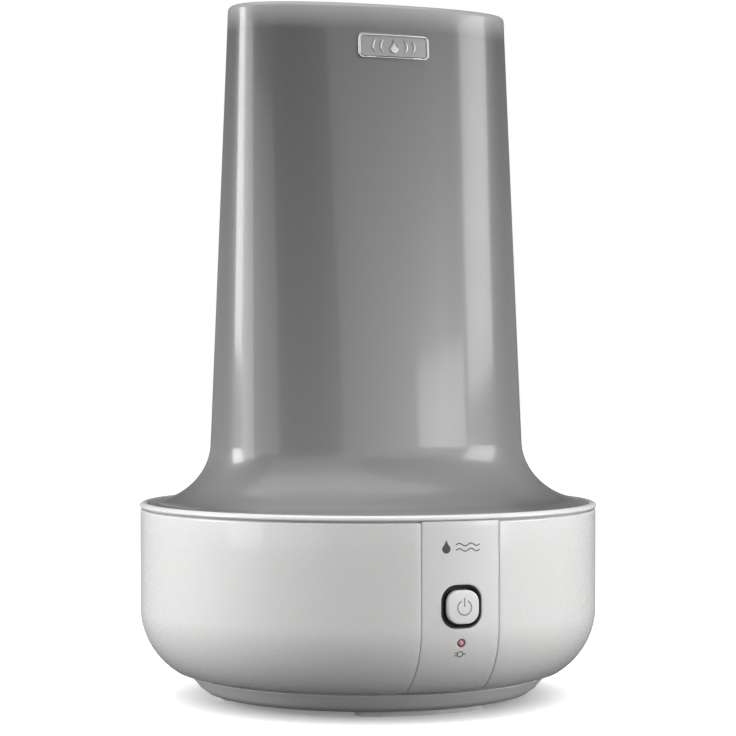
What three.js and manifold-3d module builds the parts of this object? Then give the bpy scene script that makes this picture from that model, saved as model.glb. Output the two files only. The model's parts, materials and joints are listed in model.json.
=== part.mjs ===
// Cool mist humidifier: a round white base with a smoked water tank standing on it.
// Millimetres, +Z up, origin on the floor under the middle of the base, front facing -Y.
import * as THREE from "three";
import { mergeVertices } from "three/addons/utils/BufferGeometryUtils.js";
import Module from "manifold-3d";

const wasm = await Module();
wasm.setup();

// ---------------------------------------------------------------- driving dimensions

const GAP = 0.3; // clearance kept between pieces that touch
const ROUND = 36; // facets round the large turned pieces
const SMALL_ROUND = 18; // facets round the small turned pieces
const TUBE_ROUND = 30; // facets round the mist chimney and the holes it passes through

const BASE = {
  wallR: 139.7, // outer radius of the upright wall
  wallTopZ: 115.2,
  bottomZ: 17.5,
  bottomR: 118.8, // where the rounded lower edge ends
  filletR: 45.3, // radius of the rounded lower edge
  filletZ: 55.7, // height at which the wall starts to round in
  skin: 3,
  footHoleR: 86,
};

const RIM = {
  lipR: 140.25,
  lipBottomZ: 116.3,
  topZ: 119.3,
  rounding: 2.6,
  innerR: 135.3,
  ledgeZ: 113,
  ledgeR: 124,
  skirtBottomZ: 110.8,
};

const FOOT = {
  bottomZ: 3.6,
  plateZ: 9,
  skin: 2.6,
  topZ: 17.2,
  ringInnerR: 76,
  ringOuterR: 97.3,
  padInnerR: 80,
  padOuterR: 92.5,
  padHalfAngle: 28,
  slats: 7, // intake slots under the middle
};

const BASIN = { floorZ: 92, wallR: 122, rimR: 134, rimZ: 110.5, skin: 2.5, wellR: 18, wellZ: 86 };

const PANEL = {
  halfWidth: 23.95,
  topZ: 116,
  backY: -112, // the panel runs back to this plane
  buttonZ: 67.6,
  openingSize: 24.6,
  openingCorner: 9,
  ledZ: 47,
  ledR: 2,
};

const BUTTON = { frontY: -142.7, backY: -137.9, size: 18.8, cornerR: 7, stemR: 3, stemEndY: -121.8 };
const CUP = { frontY: -139.2, floorY: -136.1, backY: -134.2, skin: 1.2, cornerR: 8.7 };

const TANK = {
  topZ: 420,
  edgeR: 3, // rounding of the top edge
  halfWidth: 89.3, // at the top
  halfDepth: 38.8, // at the top
  widthDraft: 0.0365, // growth of the half width per millimetre downwards
  depthDraft: 0.075,
  squareness: 2.3, // exponent of the oval section, 2 being an ellipse
  skin: 2.6,
  flareTopZ: 155, // the wall starts to sweep out to the round deck here
  flareHeight: 36,
  flareWidth: 41,
  flareEnd: 0.989, // share of the quarter ellipse that is used, down to the deck
  deckR: 131,
  flangeR: 134.6,
  flangeTopZ: 118.8,
  flangeBottomZ: 113.4,
};

const ROOF_Z = 391; // underside of the plate that closes the water space
const DECK_Z = 406; // upper face of the recessed top cover
const NOZZLE = {
  x: 42,
  collarR: 27,
  collarBoreR: 25,
  sleeveR: 21.6,
  topZ: 418.5,
  mistR: 7.5,
  mistTilt: 28, // degrees from upright
};
const CHIMNEY = { r: 23, hoodR: 47, skin: 2.2, hoodBottomZ: 97, topZ: 396 };
const EMBLEM = { z: 394.5, width: 46, height: 15, depth: 1.2, dropR: 3.3 };
const FILL = { x: -85, neckR: 20, neckBoreR: 17.4, neckBottomZ: 103, capR: 24.5, capBottomZ: 98.5 };
const FLOAT = { x: 62, y: -62, r: 14, bottomZ: 92.6, height: 9, stemR: 2.4, stemTopZ: 110.4 };
const BLOWER = { bottomZ: 24, height: 26, skin: 2, inletR: 18, outletX: 31, outletY: 42 };
const AIR_POST = { y: 33, r: 11, boreR: 9, topZ: 112 };
const GLAND = { z: 64, r: 7.2, flangeR: 9.5, boreR: 3.2, outerY: -BUTTON.frontY };
const SCREW = {
  ringR: 93,
  angles: [90, 210, 330], // between the rubber feet
  headR: 3.4,
  headBottomZ: 6.4,
  seatZ: 9,
  shankR: 1.5,
  shankTopZ: 29,
  bossR: 4.6,
  bossTopZ: 32,
};

// ---------------------------------------------------------------- materials

function plastic(color, roughness = 0.35) {
  return new THREE.MeshStandardMaterial({ color, roughness, metalness: 0 });
}

function metal(color, roughness = 0.3) {
  return new THREE.MeshStandardMaterial({ color, roughness, metalness: 1 });
}

const WHITE = plastic(0xf1f1f0, 0.22);
const WHITE_SATIN = plastic(0xe8e8e7, 0.4);
const SMOKE = plastic(0x8b8c8d, 0.2);
const GREY_PART = plastic(0xb9bbbc, 0.45);
const DARK = plastic(0x37393b, 0.5);
const RUBBER = plastic(0x2b2c2d, 0.85);
const PAD_RUBBER = plastic(0xc9c9c8, 0.8);
const RED_LENS = plastic(0xd8828f, 0.2);
const CIRCUIT = plastic(0x2f6b4a, 0.5);
const FOAM = plastic(0x4b4e50, 0.95);
const STEEL = metal(0xb8babd);
const ALUMINIUM = metal(0xc6c8ca, 0.45);
const BRIGHT = metal(0xdedfe0, 0.15);

// ---------------------------------------------------------------- geometry helpers

const radians = THREE.MathUtils.degToRad;

/** Evenly spaced values from a to b, ends included. */
function steps(a, b, count) {
  return Array.from({ length: count }, (_, i) => a + ((b - a) * i) / (count - 1));
}

/** The same surface with its vertices merged and its faces turned to point out. */
function closed(geometry) {
  geometry.deleteAttribute("normal");
  geometry.deleteAttribute("uv");
  const merged = mergeVertices(geometry, 1e-4);
  const kept = [];
  const source = merged.index.array;
  for (let i = 0; i < source.length; i += 3) {
    const [a, b, c] = [source[i], source[i + 1], source[i + 2]];
    if (a !== b && b !== c && c !== a) kept.push(a, b, c);
  }
  if (signedVolume(merged.attributes.position, kept) < 0) kept.reverse();
  merged.setIndex(kept);
  return merged;
}

function signedVolume(position, index) {
  const [a, b, c] = [new THREE.Vector3(), new THREE.Vector3(), new THREE.Vector3()];
  let volume = 0;
  for (let i = 0; i < index.length; i += 3) {
    a.fromBufferAttribute(position, index[i]);
    b.fromBufferAttribute(position, index[i + 1]);
    c.fromBufferAttribute(position, index[i + 2]);
    volume += a.dot(b.cross(c)) / 6;
  }
  return volume;
}

/** A solid for joining and cutting. */
function solid(geometry) {
  const vertProperties = new Float32Array(geometry.attributes.position.array);
  const triVerts = new Uint32Array(geometry.index.array);
  return new wasm.Manifold(new wasm.Mesh({ numProp: 3, vertProperties, triVerts }));
}

function geometryOf(body) {
  const mesh = body.getMesh();
  const geometry = new THREE.BufferGeometry();
  geometry.setAttribute("position", new THREE.BufferAttribute(new Float32Array(mesh.vertProperties), 3));
  geometry.setIndex(Array.from(mesh.triVerts));
  return geometry;
}

/** base joined with every geometry in added, then cut by every one in removed. */
function combine(base, added = [], removed = []) {
  let body = solid(base);
  for (const item of added) body = body.add(solid(item));
  for (const item of removed) body = body.subtract(solid(item));
  return geometryOf(body);
}

function common(first, second) {
  return geometryOf(solid(first).intersect(solid(second)));
}

/** A body turned about Z from (radius, z) points; a ring profile closes on itself. */
function turned(points, segments = ROUND) {
  const onAxis = points[0][0] === 0 && points.at(-1)[0] === 0;
  const profile = points.map(([r, z]) => new THREE.Vector2(r, z));
  if (!onAxis) profile.push(profile[0].clone());
  return closed(new THREE.LatheGeometry(profile, segments).rotateX(Math.PI / 2));
}

/** An upright round bar from z0 to z1 about (x, y). */
function bar(r, z0, z1, x = 0, y = 0, segments = SMALL_ROUND) {
  const geometry = new THREE.CylinderGeometry(r, r, z1 - z0, segments).rotateX(Math.PI / 2);
  return closed(geometry.translate(x, y, (z0 + z1) / 2));
}

/** A round bar along Y from y0 to y1 about (x, z). */
function crossBar(r, y0, y1, x, z, segments = SMALL_ROUND) {
  const geometry = new THREE.CylinderGeometry(r, r, y1 - y0, segments);
  return closed(geometry.translate(x, (y0 + y1) / 2, z));
}

function block(x0, x1, y0, y1, z0, z1) {
  const geometry = new THREE.BoxGeometry(x1 - x0, y1 - y0, z1 - z0);
  return closed(geometry.translate((x0 + x1) / 2, (y0 + y1) / 2, (z0 + z1) / 2));
}

/** An outline in X and Y raised from z0 to z1. */
function raised(shape, z0, z1, curveSegments = 6) {
  const options = { depth: z1 - z0, bevelEnabled: false, curveSegments };
  return closed(new THREE.ExtrudeGeometry(shape, options).translate(0, 0, z0));
}

/** An outline in X and Z carried along Y from y0 to y1, centred at height z. */
function carried(shape, y0, y1, z, curveSegments = 5) {
  const options = { depth: y1 - y0, bevelEnabled: false, curveSegments };
  const geometry = new THREE.ExtrudeGeometry(shape, options).rotateX(Math.PI / 2);
  return closed(geometry.translate(0, y1, z));
}

function roundedRectangle(width, height, r) {
  const [w, h] = [width / 2, height / 2];
  const shape = new THREE.Shape();
  shape.moveTo(-w + r, -h);
  shape.lineTo(w - r, -h);
  shape.absarc(w - r, -h + r, r, -Math.PI / 2, 0);
  shape.lineTo(w, h - r);
  shape.absarc(w - r, h - r, r, 0, Math.PI / 2);
  shape.lineTo(-w + r, h);
  shape.absarc(-w + r, h - r, r, Math.PI / 2, Math.PI);
  shape.lineTo(-w, -h + r);
  shape.absarc(-w + r, -h + r, r, Math.PI, 1.5 * Math.PI);
  return shape;
}

/** A closed skin through rings of equal length; capped at both ends or run round on itself. */
function skinned(rings, capped) {
  const count = rings[0].length;
  const positions = rings.flat(2);
  const index = [];
  const last = capped ? rings.length - 1 : rings.length;
  for (let i = 0; i < last; i += 1) {
    const upper = ((i + 1) % rings.length) * count;
    for (let k = 0; k < count; k += 1) {
      const next = (k + 1) % count;
      index.push(i * count + k, i * count + next, upper + next);
      index.push(i * count + k, upper + next, upper + k);
    }
  }
  if (capped) {
    const top = (rings.length - 1) * count;
    for (let k = 1; k < count - 1; k += 1) {
      index.push(0, k + 1, k);
      index.push(top, top + k, top + k + 1);
    }
  }
  const geometry = new THREE.BufferGeometry();
  geometry.setAttribute("position", new THREE.Float32BufferAttribute(positions, 3));
  geometry.setIndex(index);
  return closed(geometry);
}

// ---------------------------------------------------------------- assembly

const humidifier = new THREE.Group();

function add(name, geometry, material) {
  const mesh = new THREE.Mesh(geometry, material);
  mesh.name = name;
  humidifier.add(mesh);
  return mesh;
}

// ---------------------------------------------------------------- base housing

/** Radius of the outside of the base at height z, inset by a skin thickness. */
function baseRadius(z, inset) {
  if (z >= BASE.filletZ) return BASE.wallR - inset;
  const drop = BASE.filletZ - z;
  const r = BASE.filletR - inset;
  return BASE.wallR - BASE.filletR + Math.sqrt(Math.max(r * r - drop * drop, 0));
}

/** The hollow round body of the base, up to the height topZ. */
function baseBody(topZ) {
  const { bottomR, bottomZ, filletZ, footHoleR, skin } = BASE;
  const outer = [20, 25, 33, 43, filletZ, topZ].map((z) => [baseRadius(z, 0), z]);
  const inner = [topZ, filletZ, 38, 24].map((z) => [baseRadius(z, skin), z]);
  const floorTop = bottomZ + skin;
  const floor = [[bottomR - 0.8, floorTop], [footHoleR, floorTop], [footHoleR, bottomZ]];
  return turned([[bottomR, bottomZ], ...outer, ...inner, ...floor]);
}

function screwPlace(angle) {
  return [SCREW.ringR * Math.cos(radians(angle)), SCREW.ringR * Math.sin(radians(angle))];
}

function buildBaseHousing() {
  const reach = BASE.wallR + 20; // past the outside, for cutting through it
  const { halfWidth, backY, openingSize, openingCorner, buttonZ, ledR, ledZ } = PANEL;
  const low = BASE.bottomZ - 5;
  const high = PANEL.topZ + 5;
  const slot = halfWidth + GAP;
  const panelCut = block(-slot, slot, -reach, backY + GAP, low, high);
  const glandHole = crossBar(GLAND.r + GAP, 120, reach, 0, GLAND.z);
  const bosses = [];
  const pilots = [];
  for (const angle of SCREW.angles) {
    const [x, y] = screwPlace(angle);
    bosses.push(bar(SCREW.bossR, BASE.bottomZ + 1, SCREW.bossTopZ, x, y, 12));
    pilots.push(bar(SCREW.shankR + GAP, low, SCREW.shankTopZ + 0.5, x, y, 8));
  }
  const housing = combine(baseBody(BASE.wallTopZ), bosses, [panelCut, glandHole, ...pilots]);
  add("base_shell", housing, WHITE);

  const panelBlank = block(-halfWidth, halfWidth, -reach, backY, low, high);
  const opening = roundedRectangle(openingSize, openingSize, openingCorner);
  const buttonHole = carried(opening, -reach, backY, buttonZ, 4);
  const ledHole = crossBar(ledR + GAP, -reach, backY, 0, ledZ, 12);
  const panel = common(baseBody(PANEL.topZ), panelBlank);
  add("control_panel", combine(panel, [], [buttonHole, ledHole]), WHITE);
}

function buildRim() {
  const { lipR, lipBottomZ, topZ, rounding, innerR, ledgeZ, ledgeR, skirtBottomZ } = RIM;
  const skirtR = BASE.wallR - BASE.skin - GAP;
  const crown = steps(0, Math.PI / 2, 3).map((a) => [
    lipR - rounding * (1 - Math.cos(a)),
    topZ - rounding * (1 - Math.sin(a)),
  ]);
  const profile = [
    [skirtR, skirtBottomZ],
    [skirtR, lipBottomZ],
    [lipR - 0.4, lipBottomZ],
    ...crown,
    [innerR + 1, topZ],
    [innerR, topZ - 1],
    [innerR, ledgeZ],
    [ledgeR, ledgeZ],
    [ledgeR, skirtBottomZ],
  ];
  add("rim_ring", turned(profile), WHITE);
}

function buildBottom() {
  const { bottomZ, plateZ, skin, topZ, ringInnerR, ringOuterR, slats } = FOOT;
  const inside = [
    [104, topZ],
    [104, 14],
    [ringOuterR - 0.3, bottomZ + skin],
    [ringInnerR + 3, bottomZ + skin],
    [ringInnerR + 3, topZ],
    [ringInnerR + 0.5, topZ],
    [ringInnerR + 0.5, plateZ + 3],
    [0, plateZ + 3],
  ];
  const outside = [
    [0, plateZ],
    [ringInnerR - 2, plateZ],
    [ringInnerR, bottomZ],
    [ringOuterR, bottomZ],
    [103.7, 7.3],
    [110, 14.5],
    [106.5, 15.2],
    [106.5, topZ],
  ];
  const posts = [];
  const cuts = [];
  for (const angle of SCREW.angles) {
    const [x, y] = screwPlace(angle);
    posts.push(bar(SCREW.headR + 2.2, bottomZ + 1.4, topZ, x, y, 12));
    cuts.push(bar(SCREW.headR + 0.6, 0, SCREW.seatZ, x, y, 12));
    cuts.push(bar(SCREW.shankR + GAP, SCREW.seatZ - 1, topZ + 3, x, y, 8));
  }
  for (const x of steps(-24, 24, slats)) cuts.push(block(x - 1.6, x + 1.6, -26, 26, 0, plateZ + 6));
  add("bottom_cover", combine(turned([...outside, ...inside]), posts, cuts), WHITE_SATIN);

  for (const [i, middle] of [270, 30, 150].entries()) {
    const from = radians(middle - FOOT.padHalfAngle);
    const to = radians(middle + FOOT.padHalfAngle);
    const pad = new THREE.Shape();
    pad.absarc(0, 0, FOOT.padOuterR, from, to, false);
    pad.absarc(0, 0, FOOT.padInnerR, to, from, true);
    pad.closePath();
    add(`rubber_foot_${i + 1}`, raised(pad, 0, bottomZ - GAP, 8), PAD_RUBBER);
  }
  buildScrews();
}

function buildScrews() {
  const { headR, headBottomZ, seatZ, shankR, shankTopZ, angles } = SCREW;
  const headTopZ = seatZ - 0.4;
  const profile = [
    [0, headBottomZ],
    [headR, headBottomZ],
    [headR, headTopZ],
    [shankR, headTopZ],
    [shankR, shankTopZ - 1],
    [0, shankTopZ],
  ];
  for (const [i, angle] of angles.entries()) {
    const [x, y] = screwPlace(angle);
    add(`bottom_screw_${i + 1}`, turned(profile, 8).translate(x, y, 0), STEEL);
  }
}

// ---------------------------------------------------------------- controls

function buildControls() {
  const { buttonZ, openingSize, ledR, ledZ } = PANEL;
  const cupSize = openingSize - 2 * GAP;
  const wellSize = cupSize - 2 * CUP.skin;
  const wellCorner = CUP.cornerR - 1.1;
  const cup = carried(roundedRectangle(cupSize, cupSize, CUP.cornerR), CUP.frontY, CUP.backY, buttonZ, 4);
  const well = carried(roundedRectangle(wellSize, wellSize, wellCorner), -145, CUP.floorY, buttonZ, 4);
  const stemHole = crossBar(BUTTON.stemR + 0.4, -140, -130, 0, buttonZ, 16);
  add("button_bezel", combine(cup, [], [well, stemHole]), DARK);

  const capOutline = roundedRectangle(BUTTON.size, BUTTON.size, BUTTON.cornerR);
  const cap = carried(capOutline, BUTTON.frontY, BUTTON.backY, buttonZ);
  const stem = crossBar(BUTTON.stemR, BUTTON.backY - 1, BUTTON.stemEndY, 0, buttonZ, 16);
  add("power_button", combine(cap, [stem]), WHITE_SATIN);

  add("led_lens", crossBar(ledR, CUP.frontY, -133, 0, ledZ, 12), RED_LENS);
  add("led_diode", crossBar(1.5, -132.6, -118.6, 0, ledZ, 10), RED_LENS);
  const switchBody = block(-3, 3, -118.6, -116.4, buttonZ - 3, buttonZ + 3);
  const switchTip = crossBar(1.6, -120, -118, 0, buttonZ, 10);
  add("tact_switch", combine(switchBody, [switchTip]), DARK);
  const board = block(-19, 19, -116.1, -114.5, 38, 80);
  const chip = block(-9, 3, -114.7, -112.2, 44, 54);
  const plug = block(6, 15, -114.7, -108, 46, 58);
  const boardHole = crossBar(2, -119, -110, 0, ledZ, 10);
  add("control_board", combine(board, [chip, plug], [boardHole]), CIRCUIT);
}

// ---------------------------------------------------------------- water basin and mist maker

function buildBasin() {
  const { floorZ, wallR, rimR, rimZ, skin, wellR, wellZ } = BASIN;
  const profile = [
    [13, wellZ - skin],
    [wellR + skin, wellZ - skin],
    [wellR + skin, floorZ - skin],
    [wallR - 1, floorZ - skin],
    [wallR + skin, floorZ + 1],
    [wallR + skin, rimZ - skin],
    [rimR, rimZ - skin],
    [rimR, rimZ],
    [wallR, rimZ],
    [wallR, floorZ + 2.5],
    [wallR - 2.5, floorZ],
    [wellR, floorZ],
    [wellR, wellZ],
    [13, wellZ],
  ];
  const post = bar(AIR_POST.r, floorZ - 6, AIR_POST.topZ, 0, AIR_POST.y);
  const bore = bar(AIR_POST.boreR, floorZ - 12, AIR_POST.topZ + 5, 0, AIR_POST.y);
  const lugs = [];
  for (const y of [-56, -24]) lugs.push(bar(3, 64.2, floorZ - 1, 66, y, 10));
  add("basin", combine(turned(profile), [post, ...lugs], [bore]), GREY_PART);

  const under = wellZ - skin - GAP;
  const sealRing = [[10.5, under - 2], [16, under - 2], [16, under], [10.5, under]];
  add("transducer_seal", turned(sealRing, SMALL_ROUND), RUBBER);
  add("transducer_disc", bar(10.2, under - 1.6, under - 0.4), STEEL);
  const sinkRing = [[7, under - 10], [19, under - 10], [19, under - 2.3], [7, under - 2.3]];
  const sink = turned(sinkRing, SMALL_ROUND);
  const fins = [];
  for (const x of steps(-15, 15, 7)) fins.push(block(x - 0.8, x + 0.8, -11, 11, under - 18, under - 9));
  add("transducer_clamp", combine(sink, fins), ALUMINIUM);

  const driver = block(36, 92, -64, -16, 62.3, 63.9);
  const coil = block(42, 58, -40, -24, 51, 63);
  const capacitors = [bar(5, 50, 63, 82, -50, 12), bar(4, 53, 63, 50, -56, 12)];
  add("driver_board", combine(driver, [coil, ...capacitors]), CIRCUIT);

  const standsAt = floorZ + GAP;
  const pin = [[0, standsAt], [6, standsAt], [6, 93.5], [2, 93.7], [2, 97], [0, 97]];
  add("valve_pin", turned(pin, 16).translate(FILL.x, 0, 0), GREY_PART);
  const { x, y, r, bottomZ, height, stemR, stemTopZ } = FLOAT;
  const stem = [[0, standsAt], [stemR, standsAt], [stemR, stemTopZ], [5, stemTopZ], [5, 111.8], [0, 111.8]];
  add("float_post", turned(stem, 16).translate(x, y, 0), GREY_PART);
  const top = bottomZ + height;
  const ring = [[3, bottomZ], [r, bottomZ], [r, top - 1], [r - 1, top], [3, top]];
  add("water_float", turned(ring, SMALL_ROUND).translate(x, y, 0), WHITE_SATIN);
}

// ---------------------------------------------------------------- blower, boards and cable entry

/** Spiral outline of the blower with its outlet running out towards +Y. */
function volute(inset) {
  const shape = new THREE.Shape();
  const [start, growth] = [31 - inset, 11];
  const turns = steps(0, 1, 25);
  const points = turns.map((t) => {
    const angle = radians(90) + t * radians(270);
    const r = start + growth * t;
    return new THREE.Vector2(r * Math.cos(angle), r * Math.sin(angle));
  });
  shape.setFromPoints(points);
  const right = start + growth;
  shape.lineTo(right, BLOWER.outletY + (inset > 0 ? 5 : 0));
  shape.lineTo(20 + inset, BLOWER.outletY + (inset > 0 ? 5 : 0));
  shape.lineTo(20 + inset, start - 6);
  shape.closePath();
  return shape;
}

function buildBlower() {
  const { bottomZ, height, skin, inletR } = BLOWER;
  const topZ = bottomZ + height;
  const outside = raised(volute(0), bottomZ, topZ);
  const inside = raised(volute(skin), bottomZ + skin, topZ - skin);
  const inlet = bar(inletR, bottomZ - 1, bottomZ + skin + 1);
  const flange = bar(42, bottomZ, bottomZ + skin, 0, 0, 36);
  const legs = [];
  for (const angle of [0, 90, 180, 270]) {
    const leg = bar(3.5, FOOT.plateZ + 3 + GAP, bottomZ + 1, 37, 0, 10);
    legs.push(leg.rotateZ(radians(angle)));
  }
  add("blower_housing", combine(outside, [flange, ...legs], [inside, inlet]), DARK);

  const motor = bar(13, 31.4, topZ - skin - GAP);
  add("fan_motor", combine(motor, [], [bar(1.9, 30, 38, 0, 0, 12)]), STEEL);

  const plate = turned([[0, 28], [26, 28], [26, 29.5], [1.5, 29.5], [1.5, 37], [0, 37]], SMALL_ROUND);
  const blades = [];
  const bladeCount = 14;
  for (let i = 0; i < bladeCount; i += 1) {
    const blade = block(19, 25.6, -0.6, 0.6, 29, 43);
    blade.translate(-22, 0, 0).rotateZ(radians(35)).translate(22, 0, 0);
    blades.push(blade.rotateZ((i / bladeCount) * 2 * Math.PI));
  }
  add("fan_rotor", combine(plate, blades), DARK);

  const ductPath = new THREE.CatmullRomCurve3([
    new THREE.Vector3(BLOWER.outletX, BLOWER.outletY + GAP, bottomZ + height / 2),
    new THREE.Vector3(BLOWER.outletX, 56, 40),
    new THREE.Vector3(17, 60, 58),
    new THREE.Vector3(2, 42, 74),
    new THREE.Vector3(0, AIR_POST.y, 85.6),
  ]);
  const ring = new THREE.Shape().absarc(0, 0, 10.5, 0, 2 * Math.PI);
  ring.holes.push(new THREE.Path().absarc(0, 0, 8.6, 0, 2 * Math.PI));
  const options = { steps: 12, bevelEnabled: false, curveSegments: 5, extrudePath: ductPath };
  const trim = [block(-60, 60, 0, BLOWER.outletY + GAP, 20, 60), bar(30, 85.6, 95, 0, AIR_POST.y)];
  add("air_duct", combine(closed(new THREE.ExtrudeGeometry(ring, options)), [], trim), DARK);

  add("intake_filter", block(-30, 30, -30, 30, 12.3, 16.3), FOAM);
}

function buildPower() {
  const board = block(-108, -52, -34, 34, 34, 35.6);
  const transformer = block(-84, -58, -26, -2, 35, 55);
  const capacitors = [bar(6, 35, 52, -92, 10, 12), bar(4, 35, 47, -74, 14, 12)];
  const parts = [transformer, ...capacitors, block(-66, -56, 6, 22, 35, 45)];
  const legs = [];
  for (const y of [-27, 27]) legs.push(bar(3, BASE.bottomZ + BASE.skin + GAP, 35, -96, y, 10));
  add("main_board", combine(board, [...parts, ...legs]), CIRCUIT);

  const { z, r, flangeR, boreR, outerY } = GLAND;
  const flangeY = BASE.wallR + GAP;
  const collar = crossBar(flangeR, flangeY, outerY, 0, z);
  const sleeve = crossBar(r, 128, outerY - 0.5, 0, z);
  const nut = crossBar(10.5, 128, 135.5, 0, z, 6);
  const bore = crossBar(boreR, 120, 150, 0, z, 16);
  add("cable_gland", combine(collar, [sleeve, nut], [bore]), WHITE_SATIN);
}

// ---------------------------------------------------------------- water tank

/** How far the foot of the wall has swept out at height z, along a quarter ellipse. */
function sweep(z, topZ) {
  const t = Math.min(Math.max((topZ - z) / TANK.flareHeight, 0), TANK.flareEnd);
  return TANK.flareWidth * (1 - Math.sqrt(1 - t * t));
}

/** One ring of the tank wall at height z, inset along its own normals and kept inside deckR. */
function tankRing(z, inset = 0, deckR = TANK.deckR, count = ROUND) {
  const down = TANK.topZ - z;
  const halfWidth = TANK.halfWidth + TANK.widthDraft * down;
  const halfDepth = TANK.halfDepth + TANK.depthDraft * down;
  const outward = sweep(z, TANK.flareTopZ - inset) - inset;
  const power = 2 / TANK.squareness;
  const bend = (value, exponent) => Math.sign(value) * Math.abs(value) ** exponent;
  return Array.from({ length: count }, (_, k) => {
    const angle = (k / count) * 2 * Math.PI;
    const c = Math.abs(Math.cos(angle)) < 1e-9 ? 0 : Math.cos(angle);
    const s = Math.abs(Math.sin(angle)) < 1e-9 ? 0 : Math.sin(angle);
    const normal = new THREE.Vector2(bend(c, 2 - power) / halfWidth, bend(s, 2 - power) / halfDepth);
    normal.normalize();
    const point = new THREE.Vector2(halfWidth * bend(c, power), halfDepth * bend(s, power));
    point.addScaledVector(normal, outward);
    point.clampLength(0, deckR);
    return [point.x, point.y, z];
  });
}

function circleRing(r, z, count = ROUND) {
  return Array.from({ length: count }, (_, k) => {
    const angle = (k / count) * 2 * Math.PI;
    return [r * Math.cos(angle), r * Math.sin(angle), z];
  });
}

function buildTankShell() {
  const { topZ, edgeR, skin, flareTopZ, flareHeight, flareEnd, deckR } = TANK;
  const { flangeR, flangeTopZ, flangeBottomZ } = TANK;
  const flareZ = (top) => [flareEnd, 0.94, 0.86, 0.72, 0.54, 0.3, 0].map((t) => top - t * flareHeight);
  const outer = [
    circleRing(flangeR, flangeBottomZ),
    circleRing(flangeR, flangeTopZ - 0.6),
    circleRing(flangeR - 0.8, flangeTopZ),
    circleRing(deckR, flangeTopZ + 0.2),
    ...flareZ(flareTopZ).map((z) => tankRing(z)),
    tankRing(280),
    tankRing(topZ - edgeR),
    tankRing(topZ - edgeR * 0.3, edgeR * 0.3),
    tankRing(topZ, edgeR),
  ];
  const innerR = deckR - 0.5;
  const inner = [
    tankRing(topZ - 1.5, skin + 1.6),
    tankRing(DECK_Z - 3.1, skin + 1.6),
    tankRing(DECK_Z - 3.1, skin),
    tankRing(280, skin),
    ...flareZ(flareTopZ - skin).reverse().map((z) => tankRing(z, skin, innerR - 0.4)),
    circleRing(innerR, flangeTopZ + 0.2 - skin),
    circleRing(innerR + 0.6, flangeBottomZ),
  ];
  add("tank_shell", skinned([...outer, ...inner], false), SMOKE);
}

function buildTankBase() {
  const thickness = 2.6;
  const bottomZ = TANK.flangeBottomZ + 0.2;
  const plate = bar(TANK.deckR - 0.9, bottomZ, bottomZ + thickness, 0, 0, ROUND);
  const { x, neckR, neckBoreR, neckBottomZ } = FILL;
  const neck = bar(neckR, neckBottomZ, bottomZ + 1, x);
  const neckBore = bar(neckBoreR, neckBottomZ - 5, bottomZ + 8, x);
  const hoodHole = bar(CHIMNEY.hoodR + 0.4, bottomZ - 5, bottomZ + 8, 0, 0, TUBE_ROUND);
  add("tank_base", combine(plate, [neck], [neckBore, hoodHole]), SMOKE);
}

function buildChimney() {
  const { r, hoodR, skin, hoodBottomZ, topZ } = CHIMNEY;
  const profile = [
    [hoodR, hoodBottomZ],
    [hoodR, 119],
    [hoodR - 5, 126],
    [r + 1, 142],
    [r, 150],
    [r, topZ],
    [r - skin, topZ],
    [r - skin, 150],
    [r - skin + 1, 141],
    [hoodR - skin - 5, 124.6],
    [hoodR - skin, 118],
    [hoodR - skin, hoodBottomZ],
  ];
  add("mist_chimney", turned(profile, TUBE_ROUND), SMOKE);
}

function buildTankTop() {
  const roofEdge = TANK.skin + GAP;
  const roof = skinned([tankRing(ROOF_Z, roofEdge), tankRing(ROOF_Z + 2.4, roofEdge)], true);
  const chimneyHole = bar(CHIMNEY.r + GAP, ROOF_Z - 3, ROOF_Z + 6, 0, 0, TUBE_ROUND);
  add("tank_roof", combine(roof, [], [chimneyHole]), SMOKE);

  const coverEdge = TANK.skin + 1.6 + GAP;
  const plate = skinned([tankRing(DECK_Z - 2.6, coverEdge), tankRing(DECK_Z, coverEdge)], true);
  const collars = [];
  const bores = [];
  for (const x of [-NOZZLE.x, NOZZLE.x]) {
    collars.push(bar(NOZZLE.collarR, DECK_Z - 2, DECK_Z + 3.4, x));
    bores.push(bar(NOZZLE.collarBoreR, DECK_Z - 1, DECK_Z + 8, x));
    bores.push(bar(NOZZLE.collarBoreR - 3, DECK_Z - 6, DECK_Z + 8, x));
  }
  add("top_cover", combine(plate, collars, bores), GREY_PART);

  for (const [name, side] of [["nozzle_left", -1], ["nozzle_right", 1]]) {
    const nozzle = mistNozzle();
    if (side < 0) nozzle.rotateZ(Math.PI);
    add(name, nozzle.translate(side * NOZZLE.x, 0, 0), GREY_PART);
  }
}

/** A domed nozzle that turns in its collar, with a slanted mouth and a grip. */
function mistNozzle() {
  const { sleeveR, topZ, mistR, mistTilt } = NOZZLE;
  const low = DECK_Z - 0.7;
  const domeSkin = 2.2;
  const profile = [
    [0, topZ],
    [0, topZ - domeSkin],
    [11, topZ - domeSkin],
    [sleeveR, DECK_Z + 6.6],
    [sleeveR, low],
    [sleeveR + 3, low],
    [sleeveR + 3, DECK_Z + 3.7],
    [sleeveR + 6, DECK_Z + 3.7],
    [sleeveR + 6, DECK_Z + 5.4],
    [24, DECK_Z + 8.4],
    [12, topZ],
  ];
  const mouth = bar(mistR, -2, 26, 0, 0, 16).rotateY(radians(mistTilt)).translate(0, 0, DECK_Z);
  const grip = block(-20, -12, -1.2, 1.2, DECK_Z + 7, topZ - 0.2);
  return combine(turned(profile, SMALL_ROUND), [grip], [mouth]);
}

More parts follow.
